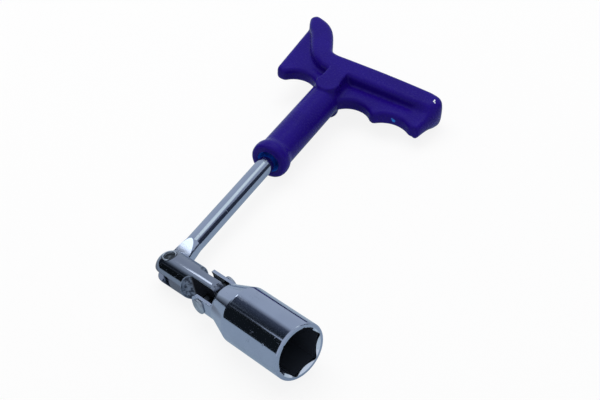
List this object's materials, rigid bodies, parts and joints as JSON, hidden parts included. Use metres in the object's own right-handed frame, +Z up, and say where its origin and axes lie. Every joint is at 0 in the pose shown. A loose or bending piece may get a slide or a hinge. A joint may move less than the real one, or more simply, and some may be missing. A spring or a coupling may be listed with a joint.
{
  "type": "swivel spark plug socket wrench",
  "caption": "Spark plug wrench: pistol-shaped T handle, round shaft, two-pin swivel joint and a hexagon socket with a rubber grip ring.",
  "frame": {"origin": "on the bench, under the middle of the whole tool as it lies", "axes": "+Z up from the bench; +X along the bench in the direction that the socket's mouth points; +Y towards the handle"},
  "size_m": [0.179, 0.1898, 0.0298],
  "materials": {
    "handle_plastic": "moulded glossy plastic",
    "shaft_chrome": "bright chrome plate",
    "link_chrome": "chrome plate over milled flats",
    "pin_steel": "riveted steel",
    "socket_chrome": "bright chrome plate with small scratches",
    "grip_rubber": "plain black rubber"
  },
  "bodies": {
    "handle_and_shaft": {"handle": "handle_plastic", "shaft": "shaft_chrome"},
    "link": {"link": "link_chrome", "shaft_pin": "pin_steel"},
    "socket": {"socket": "socket_chrome", "socket_pin": "pin_steel", "plug_grip": "grip_rubber"}
  },
  "joints": [
    {"name": "shaft_swing", "type": "hinge", "parent": "handle_and_shaft", "child": "link", "pos_m": [0.00225, -0.08134, 0.0081], "axis": [-0.1167, -0.0779, 0.9901], "range_deg": [-162.6, 17]},
    {"name": "socket_swing", "type": "hinge", "parent": "link", "child": "socket", "pos_m": [0.03274, -0.08142, 0.01169], "axis": [-0.0066, 0.997, 0.0777], "range_deg": [-89.9, 86.1]}
  ]
}
